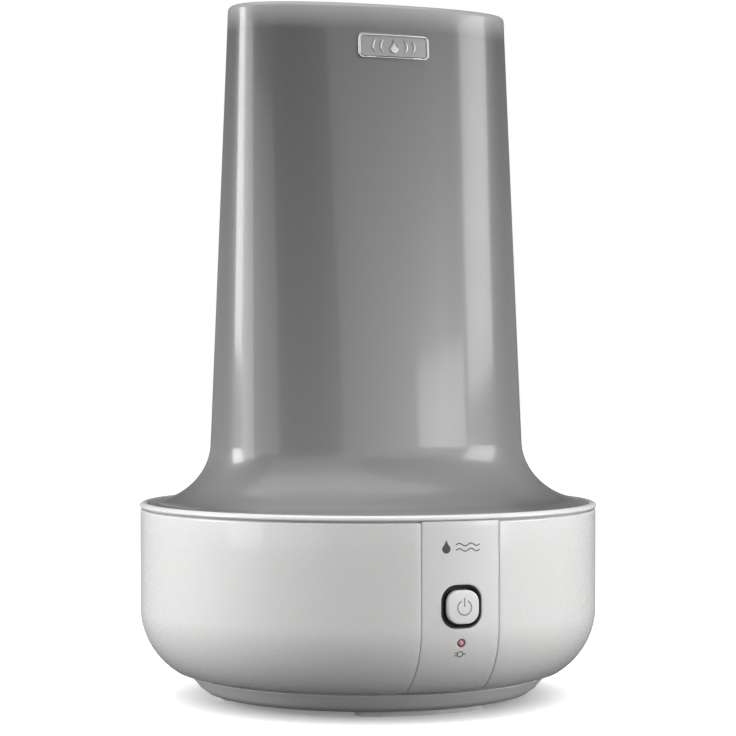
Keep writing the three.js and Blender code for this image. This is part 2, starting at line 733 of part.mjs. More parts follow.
/** A drop outline: a round belly drawn up to a point. */
function dropShape(r) {
  const shape = new THREE.Shape();
  shape.absarc(0, 0, r, radians(-210), radians(30), false);
  shape.quadraticCurveTo(r * 0.3, r * 1.1, 0, r * 2);
  shape.quadraticCurveTo(-r * 0.3, r * 1.1, r * Math.cos(radians(150)), r * Math.sin(radians(150)));
  return shape;
}

function buildEmblem() {
  const { z, width, height, depth, dropR } = EMBLEM;
  const frontY = -(TANK.halfDepth + TANK.depthDraft * (TANK.topZ - z));
  const plate = carried(roundedRectangle(width, height, 3), frontY - depth, frontY + 6, z, 3);
  const drop = carried(dropShape(dropR), frontY - depth - 0.7, frontY - 0.5, z - dropR / 2, 5);
  const behind = skinned([tankRing(z - 20, -GAP), tankRing(z + 20, -GAP)], true);
  add("emblem", combine(plate, [drop], [behind]), BRIGHT);
}

function buildFillCap() {
  const { x, neckR, neckBoreR, neckBottomZ, capR, capBottomZ } = FILL;
  const discTop = capBottomZ + 2.5;
  const [sealBottom, sealTop] = [discTop + GAP, neckBottomZ - GAP];
  const seal = [[neckBoreR, sealBottom], [neckR, sealBottom], [neckR, sealTop], [neckBoreR, sealTop]];
  add("cap_seal", turned(seal, SMALL_ROUND).translate(x, 0, 0), RUBBER);

  const cup = [
    [4, capBottomZ],
    [capR, capBottomZ],
    [capR, 111],
    [neckR + 0.6, 111],
    [neckR + 0.6, discTop],
    [4, discTop],
  ];
  const grips = [];
  for (let i = 0; i < 12; i += 1) {
    grips.push(block(capR - 1, capR + 1, -1.6, 1.6, capBottomZ, 110.5).rotateZ((i / 12) * 2 * Math.PI));
  }
  add("fill_cap", combine(turned(cup, SMALL_ROUND), grips).translate(x, 0, 0), GREY_PART);

  const plunger = [[0, 97.3], [2, 97.3], [2, 104.7], [8, 104.7], [8, 106.7], [2, 107.5], [0, 107.5]];
  add("valve_plunger", turned(plunger, 16).translate(x, 0, 0), DARK);
}

buildBaseHousing();
buildRim();
buildBottom();
buildControls();
buildBasin();
buildBlower();
buildPower();
buildTankShell();
buildTankBase();
buildChimney();
buildTankTop();
buildEmblem();
buildFillCap();

export default humidifier;
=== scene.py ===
"""Cool mist humidifier: fine meshes, materials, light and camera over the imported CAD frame."""
import json
import math

import bmesh
import bpy
from mathutils import Matrix, Vector
from mathutils.geometry import delaunay_2d_cdt


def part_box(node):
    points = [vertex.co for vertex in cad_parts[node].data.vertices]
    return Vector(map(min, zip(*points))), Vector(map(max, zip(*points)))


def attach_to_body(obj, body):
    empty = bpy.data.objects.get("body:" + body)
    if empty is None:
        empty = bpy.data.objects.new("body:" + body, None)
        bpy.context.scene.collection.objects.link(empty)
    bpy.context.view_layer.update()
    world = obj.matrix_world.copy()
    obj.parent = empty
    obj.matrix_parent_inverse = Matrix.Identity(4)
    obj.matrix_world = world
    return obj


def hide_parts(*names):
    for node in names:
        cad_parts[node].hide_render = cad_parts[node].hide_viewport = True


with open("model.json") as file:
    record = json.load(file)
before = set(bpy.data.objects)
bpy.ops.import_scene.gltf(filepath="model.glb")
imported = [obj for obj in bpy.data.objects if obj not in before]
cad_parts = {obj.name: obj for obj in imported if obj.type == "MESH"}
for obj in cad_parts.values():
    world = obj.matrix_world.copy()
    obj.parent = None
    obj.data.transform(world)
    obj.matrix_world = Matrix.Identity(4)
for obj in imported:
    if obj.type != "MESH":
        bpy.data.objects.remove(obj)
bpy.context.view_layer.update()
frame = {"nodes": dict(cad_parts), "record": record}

MM = 0.001


def cad(node):
    """Lowest and highest corner of a CAD node, in millimetres."""
    low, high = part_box(node)
    return Vector(low) / MM, Vector(high) / MM


def middle(node):
    """The middle of a CAD node's box, in millimetres."""
    return [(a + b) / 2 for a, b in zip(*cad(node))]


# ------------------------------------------------------------------ driving sizes, millimetres

RIM_LOW, RIM_HIGH = cad("rim_ring")
SHELL_LOW, SHELL_HIGH = cad("base_shell")
TANK_LOW, TANK_HIGH = cad("tank_shell")
BUTTON_LOW, BUTTON_HIGH = cad("power_button")
PANEL_HIGH = cad("control_panel")[1]
PANEL_HALF = PANEL_HIGH.x

RIM_R = RIM_HIGH.x
WALL_R = SHELL_HIGH.x
WALL_TOP = SHELL_HIGH.z
BASE_BOTTOM = SHELL_LOW.z
FILLET_R = 45.3
FILLET_Z = 55.7
SKIN = 3.0
SEAM = 0.18

TOP_Z = TANK_HIGH.z
TANK_HALF_WIDTH = 89.3
TANK_HALF_DEPTH = 38.8
WIDTH_DRAFT = 0.0365
DEPTH_DRAFT = 0.075
SQUARENESS = 2.3
TANK_SKIN = 2.6
FLARE_TOP = 155.0
FLARE_HEIGHT = 36.0
FLARE_WIDTH = 41.0
FLARE_END = 0.989
DECK_R = 131.0
LIP_BOTTOM = 116.3
FLANGE_R = TANK_HIGH.x
FLANGE_TOP = 118.8
FLANGE_BOTTOM = TANK_LOW.z
COVER_Z = 406.0
CEILING_Z = 393.4
SHEET = 2.4
NECK_X = -85.0
NECK_R = 17.4

BUTTON_Z = middle("power_button")[2]
BUTTON_BACK = -137.9
BUTTON_CORNER = 7
OPENING = 24.6
LED_Z = middle("led_lens")[2]

# ------------------------------------------------------------------ the view, metres

CAMERA_AZIMUTH = math.radians(-22.25)
CAMERA_DISTANCE = 1.4796
CAMERA_HEIGHT = 0.2121
AIM_HEIGHT = 0.2

# ------------------------------------------------------------------ materials


def new_material(name):
    material = bpy.data.materials.new(name)
    material.use_nodes = True
    tree = material.node_tree
    return material, tree, tree.nodes["Principled BSDF"]


def set_inputs(node, values):
    """Sets a node's inputs by their names."""
    for name, value in values.items():
        node.inputs[name].default_value = value


def noise(tree, scale, detail=4.0):
    """A noise texture in object space, scale in features per metre."""
    place = tree.nodes.new("ShaderNodeTexCoord")
    texture = tree.nodes.new("ShaderNodeTexNoise")
    set_inputs(texture, {"Scale": scale, "Detail": detail})
    tree.links.new(place.outputs["Object"], texture.inputs["Vector"])
    return texture.outputs["Fac"]


def stretched_noise(tree, scales):
    """A noise texture with its own scale along each axis."""
    place = tree.nodes.new("ShaderNodeTexCoord")
    stretch = tree.nodes.new("ShaderNodeMapping")
    texture = tree.nodes.new("ShaderNodeTexNoise")
    set_inputs(stretch, {"Scale": scales})
    set_inputs(texture, {"Scale": 1, "Detail": 2})
    tree.links.new(place.outputs["Object"], stretch.inputs["Vector"])
    tree.links.new(stretch.outputs["Vector"], texture.inputs["Vector"])
    return texture.outputs["Fac"]


def height_of(tree, space):
    """The upward coordinate in the named space."""
    place = tree.nodes.new("ShaderNodeTexCoord")
    split = tree.nodes.new("ShaderNodeSeparateXYZ")
    tree.links.new(place.outputs[space], split.inputs["Vector"])
    return split.outputs["Z"]


def ramp(tree, value, source, target):
    """A value carried from the source range to the target range and held beyond it."""
    node = tree.nodes.new("ShaderNodeMapRange")
    set_inputs(node, {"From Min": source[0], "From Max": source[1]})
    set_inputs(node, {"To Min": target[0], "To Max": target[1]})
    tree.links.new(value, node.inputs["Value"])
    return node.outputs["Result"]


def spread(tree, value, low, high):
    """A texture value turned into a range."""
    return ramp(tree, value, (0.3, 0.7), (low, high))


def shade(tree, value, dark, light):
    """A texture value turned into a colour between two."""
    node = tree.nodes.new("ShaderNodeMix")
    node.data_type = "RGBA"
    set_inputs(node, {"A": (*dark, 1), "B": (*light, 1)})
    tree.links.new(spread(tree, value, 0, 1), node.inputs["Factor"])
    return node.outputs["Result"]


def bump(tree, shader, value, distance, strength):
    node = tree.nodes.new("ShaderNodeBump")
    set_inputs(node, {"Distance": distance, "Strength": strength})
    tree.links.new(value, node.inputs["Height"])
    tree.links.new(node.outputs["Normal"], shader.inputs["Normal"])


def moulded(name, colour, roughness, coat=0.0, grain=0.0, variation=0.04, metallic=0.0, sheen=0.0):
    """Moulded plastic, rubber or plain metal: a slightly uneven colour and gloss over a fine grain."""
    material, tree, shader = new_material(name)
    dark = tuple(c * (1 - variation) for c in colour)
    tree.links.new(shade(tree, noise(tree, 30), dark, colour), shader.inputs["Base Color"])
    rough = spread(tree, noise(tree, 1800, 2), roughness * 0.93, roughness * 1.07)
    tree.links.new(rough, shader.inputs["Roughness"])
    set_inputs(shader, {"Metallic": metallic, "Sheen Weight": sheen})
    set_inputs(shader, {"Coat Weight": coat, "Coat Roughness": 0.04})
    if grain:
        bump(tree, shader, noise(tree, 2600, 3), 0.00012, grain)
    else:
        bump(tree, shader, noise(tree, 5000, 1), 0.000004, 0.3)
    return material


def smoked(name, colour, alpha, roughness):
    """Smoked see-through plastic with faint flow marks; painted shade darkens it from the foot up,
    painted light pales the brim.
    """
    material, tree, shader = new_material(name)
    flow = stretched_noise(tree, (14, 14, 2))
    height = height_of(tree, "Object")
    # painted shade: the colour is scaled from 1 at the foot to 0.5 towards the top; painted light raises
    # it again at the brim
    level = tree.nodes.new("ShaderNodeMath")
    tree.links.new(ramp(tree, height, (0.15, 0.4), (1, 0.5)), level.inputs[0])
    tree.links.new(ramp(tree, height, (0.404, 0.418), (0, 1.1)), level.inputs[1])
    painted_light_and_shade = tree.nodes.new("ShaderNodeVectorMath")
    painted_light_and_shade.operation = "SCALE"
    dark = tuple(c * 0.94 for c in colour)
    tree.links.new(shade(tree, flow, dark, colour), painted_light_and_shade.inputs["Vector"])
    tree.links.new(level.outputs["Value"], painted_light_and_shade.inputs["Scale"])
    tree.links.new(painted_light_and_shade.outputs["Vector"], shader.inputs["Base Color"])
    rough = spread(tree, noise(tree, 60), roughness * 0.94, roughness * 1.06)
    tree.links.new(rough, shader.inputs["Roughness"])
    set_inputs(shader, {"Alpha": alpha, "IOR": 1.85})
    set_inputs(shader, {"Coat Weight": 1, "Coat IOR": 1.45, "Coat Roughness": 0.09})
    bump(tree, shader, flow, 0.0006, 0.05)
    return material


def brushed(name, colour, roughness):
    """Metal with fine turned marks."""
    material, tree, shader = new_material(name)
    marks = stretched_noise(tree, (60, 60, 2400))
    dark = tuple(c * 0.8 for c in colour)
    tree.links.new(shade(tree, marks, dark, colour), shader.inputs["Base Color"])
    rough = spread(tree, marks, roughness * 0.7, roughness * 1.3)
    tree.links.new(rough, shader.inputs["Roughness"])
    set_inputs(shader, {"Metallic": 1})
    bump(tree, shader, marks, 0.00005, 0.3)
    return material


def circuit_board(name):
    """Green solder mask with darker tracks."""
    material, tree, shader = new_material(name)
    place = tree.nodes.new("ShaderNodeTexCoord")
    bricks = tree.nodes.new("ShaderNodeTexBrick")
    set_inputs(bricks, {"Scale": 120, "Mortar": (0.01, 0.07, 0.035, 1)})
    set_inputs(bricks, {"Color1": (0.02, 0.13, 0.06, 1), "Color2": (0.03, 0.17, 0.08, 1)})
    tree.links.new(place.outputs["Object"], bricks.inputs["Vector"])
    tree.links.new(bricks.outputs["Color"], shader.inputs["Base Color"])
    tree.links.new(spread(tree, noise(tree, 200), 0.35, 0.55), shader.inputs["Roughness"])
    bump(tree, shader, bricks.outputs["Fac"], 0.0001, 0.4)
    return material


def open_foam(name):
    """Dark foam with open cells."""
    material, tree, shader = new_material(name)
    place = tree.nodes.new("ShaderNodeTexCoord")
    cells = tree.nodes.new("ShaderNodeTexVoronoi")
    set_inputs(cells, {"Scale": 700})
    tree.links.new(place.outputs["Object"], cells.inputs["Vector"])
    colour = shade(tree, cells.outputs["Distance"], (0.01, 0.01, 0.011), (0.06, 0.062, 0.065))
    tree.links.new(colour, shader.inputs["Base Color"])
    set_inputs(shader, {"Roughness": 0.95})
    bump(tree, shader, cells.outputs["Distance"], 0.0008, 0.9)
    return material


WHITE = moulded("white_gloss", (0.78, 0.78, 0.775), 0.28, coat=0.4, variation=0.006)
WHITE_SATIN = moulded("white_satin", (0.74, 0.74, 0.735), 0.38, coat=0.1, grain=0.05, variation=0.03)
SMOKE = smoked("smoke_tank", (0.25, 0.251, 0.253), 0.9, 0.34)
CAP_WHITE = moulded("cap_white", (0.86, 0.86, 0.855), 0.3, coat=0.3, grain=0.03, variation=0.01)
GREY = moulded("grey_plastic", (0.34, 0.345, 0.35), 0.42, grain=0.12)
DARK = moulded("dark_plastic", (0.02, 0.021, 0.022), 0.42, grain=0.12)
PAD_RUBBER = moulded("pad_rubber", (0.8, 0.8, 0.79), 0.6, grain=0.25, sheen=0.2)
SEAL_RUBBER = moulded("seal_rubber", (0.05, 0.05, 0.052), 0.7, grain=0.3, sheen=0.2)
RED_LENS = moulded("red_lens", (0.75, 0.28, 0.33), 0.18, coat=0.8)
PRINT = moulded("panel_print", (0.09, 0.09, 0.092), 0.5, variation=0.1)
PALE_PRINT = moulded("button_print", (0.36, 0.36, 0.365), 0.45, variation=0.06)
STEEL = brushed("steel", (0.56, 0.57, 0.58), 0.3)
ALUMINIUM = brushed("aluminium", (0.66, 0.67, 0.68), 0.42)
BRIGHT = moulded("bright_metal", (0.78, 0.78, 0.79), 0.12, metallic=1.0)
CIRCUIT = circuit_board("circuit")
FOAM = open_foam("foam")

# ------------------------------------------------------------------ mesh tools


def build(name, points, faces, material, body, slot, replaces=(), sharp=40):
    """A smooth shaded piece from points in millimetres, riding on a CAD body."""
    mesh = bpy.data.meshes.new(name)
    mesh.from_pydata([Vector(p) * MM for p in points], [], faces)
    work = bmesh.new()
    work.from_mesh(mesh)
    bmesh.ops.remove_doubles(work, verts=work.verts, dist=1e-7)
    bmesh.ops.dissolve_degenerate(work, edges=work.edges, dist=1e-7)
    bmesh.ops.recalc_face_normals(work, faces=work.faces)
    work.to_mesh(mesh)
    work.free()
    mesh.polygons.foreach_set("use_smooth", [True] * len(mesh.polygons))
    mesh.set_sharp_from_angle(angle=math.radians(sharp))
    mesh.materials.append(material)
    piece = bpy.data.objects.new(name, mesh)
    bpy.context.scene.collection.objects.link(piece)
    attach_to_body(piece, body)
    if replaces:
        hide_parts(*replaces)
    return piece


def attach(piece, parent):
    """Hangs a piece on the one it belongs to, where it stands."""
    piece.parent = parent
    piece.matrix_parent_inverse = parent.matrix_world.inverted()


def softened(points, radius, closed=True, count=4):
    """The outline with each corner sharper than 20 degrees rounded to the radius."""
    result = []
    total = len(points)
    for i, here in enumerate(points):
        here = Vector(here)
        if not closed and i in (0, total - 1):
            result.append(here)
            continue
        before = Vector(points[i - 1]) - here
        after = Vector(points[(i + 1) % total]) - here
        if before.length < 1e-6 or after.length < 1e-6:
            continue
        turn = math.pi - before.angle(after)
        if turn < math.radians(20):
            result.append(here)
            continue
        reach = min(radius * math.tan(turn / 2), before.length * 0.45, after.length * 0.45)
        start = here + before.normalized() * reach
        end = here + after.normalized() * reach
        for k in range(count + 1):
            t = k / count
            result.append(start * (1 - t) ** 2 + here * 2 * t * (1 - t) + end * t**2)
    return [tuple(p) for p in result]


def arc(centre, radius, start, end, count):
    """Points of a circular arc, angles in degrees."""
    angles = [math.radians(start + (end - start) * k / (count - 1)) for k in range(count)]
    return [(centre[0] + radius * math.cos(a), centre[1] + radius * math.sin(a)) for a in angles]


def skin(rings, closed_around=True, run_round=False, capped=False):
    """Points and quads through rings of equal length."""
    count = len(rings[0])
    points = [p for ring in rings for p in ring]
    faces = []
    last = len(rings) if run_round else len(rings) - 1
    around = count if closed_around else count - 1
    for i in range(last):
        upper = ((i + 1) % len(rings)) * count
        for k in range(around):
            after = (k + 1) % count
            faces.append((i * count + k, i * count + after, upper + after, upper + k))
    if capped:
        faces.append(tuple(range(count)))
        faces.append(tuple((len(rings) - 1) * count + k for k in reversed(range(count))))
    return points, faces


def turned(
    name, profile, material, body, slot, replaces=(), centre=(0, 0, 0), axis="Z", count=160, radius=0.6
):
    """A body turned from a closed (radius, height) outline, or one that starts and ends on the axis."""
    on_axis = profile[0][0] == 0 and profile[-1][0] == 0
    outline = softened(profile, radius, closed=not on_axis)
    rings = []
    for k in range(count):
        angle = 2 * math.pi * k / count
        ring = []
        for r, h in outline:
            x, y = r * math.cos(angle), r * math.sin(angle)
            spot = (x, y, h) if axis == "Z" else (x, h, y)
            ring.append(tuple(a + b for a, b in zip(spot, centre)))
        rings.append(ring)
    points, faces = skin(rings, closed_around=not on_axis, run_round=True)
    return build(name, points, faces, material, body, slot, replaces)


def round_rectangle(width, height, radius, count=12, centre=(0, 0)):
    w, h = width / 2 - radius, height / 2 - radius
    corners = [(w, h, 0), (-w, h, 90), (-w, -h, 180), (w, -h, 270)]
    points = []
    for x, y, start in corners:
        points += arc((centre[0] + x, centre[1] + y), radius, start, start + 90, count)
    return resampled(points, 0.9)


def circle(radius, centre=(0, 0), count=48):
    return arc(centre, radius, 0, 360 * (count - 1) / count, count)


def resampled(loop, step):
    """The loop with extra points on its long sides."""
    result = []
    for i, here in enumerate(loop):
        after = loop[(i + 1) % len(loop)]
        here, after = Vector(here), Vector(after)
        pieces = max(1, round((after - here).length / step))
        result += [tuple(here.lerp(after, k / pieces)) for k in range(pieces)]
    return result


def offset(loop, distance):
    """An anticlockwise loop moved outwards by the distance."""
    result = []
    for i, here in enumerate(loop):
        here = Vector(here)
        before = (here - Vector(loop[i - 1])).normalized()
        after = (Vector(loop[(i + 1) % len(loop)]) - here).normalized()
        normal = Vector((before.y + after.y, -before.x - after.x))
        if normal.length < 1e-6:
            normal = Vector((after.y, -after.x))
        normal.normalize()
        stretch = 1 / max(0.5, normal.dot(Vector((after.y, -after.x))))
        result.append(tuple(here + normal * distance * stretch))
    return result


def inside(point, loop):
    x, y = point
    found = False
    for i, (x1, y1) in enumerate(loop):
        x0, y0 = loop[i - 1]
        if (y0 > y) != (y1 > y) and x < (x1 - x0) * (y - y0) / (y1 - y0) + x0:
            found = not found
    return found


def grid_spots(outer, loops, spacing):
    """Grid points well inside the first loop and clear of the others."""
    xs, ys = [p[0] for p in outer], [p[1] for p in outer]
    inner = offset(loops[0][0], -spacing * 0.4)
    guards = [offset(loop, spacing * 0.4) for loop, _, _ in loops[1:]]
    spots = []
    for i in range(1, int((max(xs) - min(xs)) / spacing)):
        for j in range(1, int((max(ys) - min(ys)) / spacing)):
            spot = (min(xs) + i * spacing, min(ys) + j * spacing)
            if inside(spot, inner) and not any(inside(spot, guard) for guard in guards):
                spots.append(spot)
    return spots


def edge_rows(rounding, thickness, steps=4):
    """How far out and how deep each row of points down a plate's edge lies."""
    rows = []
    for step in range(1, steps + 1):
        a = math.pi / 2 * step / steps
        rows.append((rounding * (1 - math.sin(a)), rounding * (1 - math.cos(a))))
    return rows + [(0, thickness)]


def plate(
    name, outer, holes, place, thickness, rounding, material, body, slot, replaces=(), spacing=3.0
):
    """A sheet with holes laid on a surface, its edges rounded.

    place(u, v, d) gives the point at depth d under (u, v) on the surface.
    """
    loops = [(offset(outer, -rounding), outer, -1)]
    loops += [(offset(hole, rounding), hole, 1) for hole in holes]
    flat, edges, firsts = [], [], []
    for loop, _, _ in loops:
        first = len(flat)
        firsts.append(first)
        flat += loop
        edges += [(first + k, first + (k + 1) % len(loop)) for k in range(len(loop))]
    flat += grid_spots(outer, loops, spacing)
    cut = delaunay_2d_cdt([Vector(p) for p in flat], edges, [], 0, 1e-6)
    where, triangles, source = cut[0], cut[2], cut[3]
    triangles = [t for t in triangles if kept(t, where, loops)]
    order = {index: new for new, old in enumerate(source) for index in old}
    points = [place(p.x, p.y, 0) for p in where]
    faces = [tuple(t) for t in triangles]
    low_of = {}
    for (loop, true_loop, side), first in zip(loops, firsts):
        top_ring = [order[first + k] for k in range(len(loop))]
        previous = top_ring
        for out, depth in edge_rows(rounding, thickness):
            ring = offset(true_loop, out * side) if out else true_loop
            current = list(range(len(points), len(points) + len(ring)))
            points += [place(p[0], p[1], depth) for p in ring]
            for k in range(len(ring)):
                after = (k + 1) % len(ring)
                faces.append((previous[k], previous[after], current[after], current[k]))
            previous = current
        low_of.update(zip(top_ring, previous))
    for new, p in enumerate(where):
        if new not in low_of:
            low_of[new] = len(points)
            points.append(place(p.x, p.y, thickness))
    faces += [tuple(low_of[i] for i in reversed(t)) for t in triangles]
    return build(name, points, faces, material, body, slot, replaces)


def kept(triangle, where, loops):
    """Whether a triangle lies on the sheet, not in a hole or outside."""
    centre = sum((where[i] for i in triangle), Vector((0, 0))) / len(triangle)
    if not inside(centre, loops[0][0]):
        return False
    return not any(inside(centre, loop) for loop, _, _ in loops[1:])


def raised(place, height):
    """The same places, moved out of the surface by the height."""
    return lambda u, v, depth: place(u, v, depth - height)


def on_level(z):
    """Places a plate face up at height z."""
    return lambda x, y, depth: (x, y, z - depth)


def under_level(z):
    """Places a plate face down at height z."""
    return lambda x, y, depth: (x, y, z + depth)


# ------------------------------------------------------------------ base


def base_radius(z, inset=0.0):
    if z >= FILLET_Z:
        return WALL_R - inset
    r = FILLET_R - inset
    return WALL_R - FILLET_R + math.sqrt(max(r * r - (FILLET_Z - z) ** 2, 0))


def base_outline():
    """Closed (radius, height) section of the base wall with its turned-in bottom."""
    low = math.degrees(math.asin((FILLET_Z - BASE_BOTTOM) / FILLET_R))
    centre = (WALL_R - FILLET_R, FILLET_Z)
    outer = arc(centre, FILLET_R, -low, 0, 28) + [(WALL_R, z) for z in (75, 95, WALL_TOP)]
    inner = [(WALL_R - SKIN, WALL_TOP)] + arc(centre, FILLET_R - SKIN, 0, -low + 4, 14)
    return softened(outer + inner + [(100, BASE_BOTTOM + SKIN), (100, BASE_BOTTOM)], 1.3)


def base_shell():
    """The round housing, cut by two upright planes where the control panel sits."""
    half = PANEL_HALF + SEAM
    rounding, steps, columns = 0.8, 4, 260
    outline = base_outline()

    def column(section, shift, t):
        ring = []
        for r, z in section:
            start = math.asin((half + shift) / r)
            angle = -math.pi / 2 + start + t * (2 * math.pi - 2 * start)
            ring.append((r * math.cos(angle), r * math.sin(angle), z))
        return ring

    ends = []
    for k in range(steps + 1):
        a = math.pi / 2 * k / steps
        ends.append((offset(outline, -rounding * (1 - math.sin(a))), rounding * (1 - math.cos(a))))
    rings = [column(section, shift, 0) for section, shift in ends]
    rings += [column(outline, rounding, k / columns) for k in range(1, columns)]
    rings += [column(section, shift, 1) for section, shift in reversed(ends)]
    points, faces = skin(rings, capped=True)
    build("base_housing", points, faces, WHITE, "base", "white_gloss", ["base_shell"])


def control_panel():
    """The upright front strip, with the button opening and the light's hole."""
    top = PANEL_HIGH.z
    bottom = BASE_BOTTOM + 0.1
    corner = 1.2
    outline = [(-PANEL_HALF, bottom), (PANEL_HALF, bottom)]
    outline += arc((PANEL_HALF - corner, top - corner), corner, 0, 90, 6)
    outline += arc((corner - PANEL_HALF, top - corner), corner, 90, 180, 6)
    outer = resampled(outline, 1.2)
    button_hole = round_rectangle(OPENING, OPENING, 9, centre=(0, BUTTON_Z))
    light_hole = circle(2.35, (0, LED_Z), 40)

    def place(x, z, depth):
        r = base_radius(z)
        y = -math.sqrt(r * r - x * x)
        slope = Vector((x, y, 0))
        if z < FILLET_Z:
            level = r - WALL_R + FILLET_R
            slope = Vector((x / r * level, y / r * level, z - FILLET_Z))
        inward = slope.normalized() * -depth
        return (x, y + inward.y, z + inward.z)

    args = (WHITE, "base", "white_gloss", ["control_panel"], 2.2)
    plate("front_panel", outer, [button_hole, light_hole], place, SKIN, 0.7, *args)


def rim():
    """The thin ring round the top edge and its inner skirt."""
    low = RIM_LOW.z
    skirt = WALL_R - SKIN - 0.3
    profile = [
        (124, low),
        (skirt, low),
        (skirt, LIP_BOTTOM),
        (RIM_R - 0.5, LIP_BOTTOM),
        (RIM_R, LIP_BOTTOM + 0.7),
        (RIM_R - 0.35, 118.2),
        (RIM_R - 1.8, RIM_HIGH.z - 0.1),
        (136.4, RIM_HIGH.z),
        (135.3, 118.3),
        (135.3, 113),
        (124, 113),
    ]
    turned("rim", profile, WHITE, "base", "white_gloss", ["rim_ring"], count=256, radius=0.6)


def bottom():
    """Foot ring, intake grille and the plain underside."""
    ring = [
        (97.3, 3.6),
        (99.4, 4.2),
        (103.7, 7.3),
        (106.2, 10.5),
        (110, 14.3),
        (109.2, 15),
        (106.5, 15.2),
        (106.5, 17.2),
        (78, 17.2),
        (76.1, 4.6),
        (77, 3.6),
    ]
    args = (WHITE_SATIN, "base", "white_satin")
    foot = turned("foot_ring", ring, *args, ["bottom_cover"], count=256, radius=1.2)
    slots = [round_rectangle(3.2, 52, 1.59, 6, (-24 + 8 * k, 0)) for k in range(7)]
    disc = circle(75.6, count=160)
    grille = plate("intake_grille", disc, slots, under_level(9), 3, 0.5, *args, spacing=5)
    attach(grille, foot)


def pad_taper(t):
    """How much of its section a pad keeps towards its rounded ends, t from -1 to 1."""
    past = max(0, (abs(t) - 0.86) / 0.14)
    return min(1, math.sqrt(max(0, 1 - past**2)) + 0.02)


def rubber_feet():
    """Three curved pads under the foot ring."""
    inner, outer, half_angle, steps = 80.2, 92.3, 27.5, 48
    high = cad("rubber_foot_1")[1].z
    section = softened([(inner, 0), (outer, 0), (outer, high), (inner, high)], 0.8)
    centre = (inner + outer) / 2
    for i, direction in enumerate((270, 30, 150)):
        rings = []
        for k in range(steps + 1):
            t = -1 + 2 * k / steps
            angle = math.radians(direction + half_angle * t)
            ring = []
            for r, z in section:
                radius = centre + (r - centre) * pad_taper(t)
                ring.append((radius * math.cos(angle), radius * math.sin(angle), z))
            rings.append(ring)
        points, faces = skin(rings, capped=True)
        node = f"rubber_foot_{i + 1}"
        build(f"foot_pad_{i + 1}", points, faces, PAD_RUBBER, "base", "pad_rubber", [node])


# ------------------------------------------------------------------ controls


def facing_front(loops):
    """Rings of (x, y, z) from loops of (outline in x and z, y)."""
    return [[(x, y, z) for x, z in loop] for loop, y in loops]


def square(side, corner):
    """A round-cornered square round the button's middle."""
    return round_rectangle(side, side, corner, centre=(0, BUTTON_Z))


def edge_rounding(size, radius, corner, y_face):
    """Loops that round the edge of a square cap whose face is at y_face."""
    loops = []
    for k in range(6):
        a = math.pi / 2 * k / 5
        inset = radius * (1 - math.cos(a))
        loops.append((square(size - 2 * inset, corner - inset), y_face + radius * (1 - math.sin(a))))
    return loops


def same_length(loops, count=120):
    """The loops resampled to one number of points, evenly by length from their first point."""
    result = []
    for loop, y in loops:
        lengths = [0.0]
        for i, here in enumerate(loop):
            lengths.append(lengths[-1] + (Vector(loop[(i + 1) % len(loop)]) - Vector(here)).length)
        total = lengths[-1]
        ring, j = [], 0
        for k in range(count):
            want = total * k / count
            while lengths[j + 1] < want:
                j += 1
            t = (want - lengths[j]) / max(lengths[j + 1] - lengths[j], 1e-9)
            ring.append(tuple(Vector(loop[j]).lerp(Vector(loop[(j + 1) % len(loop)]), t)))
        result.append((ring, y))
    return result


def button_cup():
    """The dark cup round the button, with its floor."""
    low, high = cad("button_bezel")
    size = high.x * 2
    rows = (
        (size - 1, 8.3, high.y),
        (size, 8.7, high.y - 0.5),
        (size, 8.7, low.y + 0.3),
        (size - 0.4, 8.5, low.y),
        (size - 1.4, 8.0, low.y + 0.1),
        (size - 2.0, 7.7, low.y + 0.7),
        (size - 2.2, 7.6, -136.5),
        (size - 3.0, 7.2, -136.1),
        (7, 3.49, -136.1),
        (7, 3.49, high.y),
    )
    loops = [(square(side, corner), y) for side, corner, y in rows]
    points, faces = skin(facing_front(same_length(loops)), run_round=True)
    build("button_cup", points, faces, DARK, "base", "dark_plastic", ["button_bezel"])


def button_cap():
    """The crowned cap with its stem and its power sign."""
    face, back, width, edge = BUTTON_LOW.y, BUTTON_BACK, BUTTON_HIGH.x * 2, 0.7
    loops = [(square(width - 3, 5.5), back), (square(width - 0.6, 6.7), back)]
    loops.append((square(width, BUTTON_CORNER), back - 0.3))
    loops += edge_rounding(width, edge, BUTTON_CORNER, face + 0.25)
    for shrink, rise in ((0.8, 0.17), (0.5, 0.07), (0.25, 0.02), (0.05, 0)):
        side = (width - 2 * edge) * shrink
        loops.append((square(side, (BUTTON_CORNER - edge) * shrink), face + rise))
    points, faces = skin(facing_front(same_length(loops)), capped=True)
    args = ("power_button", "white_satin")
    cap = build("button_cap", points, faces, CAP_WHITE, *args, ["power_button"])
    stem = [(0, 0), (2.9, 0), (2.9, 15.8), (0, 15.8)]
    place = (0, back - 0.2, BUTTON_Z)
    rod = turned("button_stem", stem, WHITE_SATIN, *args, centre=place, axis="Y", count=32)
    attach(rod, cap)
    power_sign(cap, face)


def stroke(points, width):
    """The outline of a pen line of even width with round ends."""
    left, right = [], []
    for i, here in enumerate(points):
        before = Vector(points[max(i - 1, 0)])
        after = Vector(points[min(i + 1, len(points) - 1)])
        direction = (after - before).normalized()
        normal = Vector((-direction.y, direction.x)) * (width / 2)
        left.append(tuple(Vector(here) + normal))
        right.append(tuple(Vector(here) - normal))
    ends = []
    for spot, toward in ((points[-1], points[-2]), (points[0], points[1])):
        heading = Vector(spot) - Vector(toward)
        start = math.degrees(math.atan2(heading.y, heading.x))
        ends.append(arc(spot, width / 2, start - 90, start + 90, 8)[1:-1])
    return resampled(right + ends[0] + left[::-1] + ends[1], 0.3)


def mark(name, outline, place, height, material, parent, body, slot):
    """A thin printed or inlaid shape standing a little proud of its surface."""
    args = (height * 3, height * 0.4, material, body, slot)
    piece = plate(name, outline, [], raised(place, height), *args, spacing=0.8)
    if parent:
        attach(piece, parent)


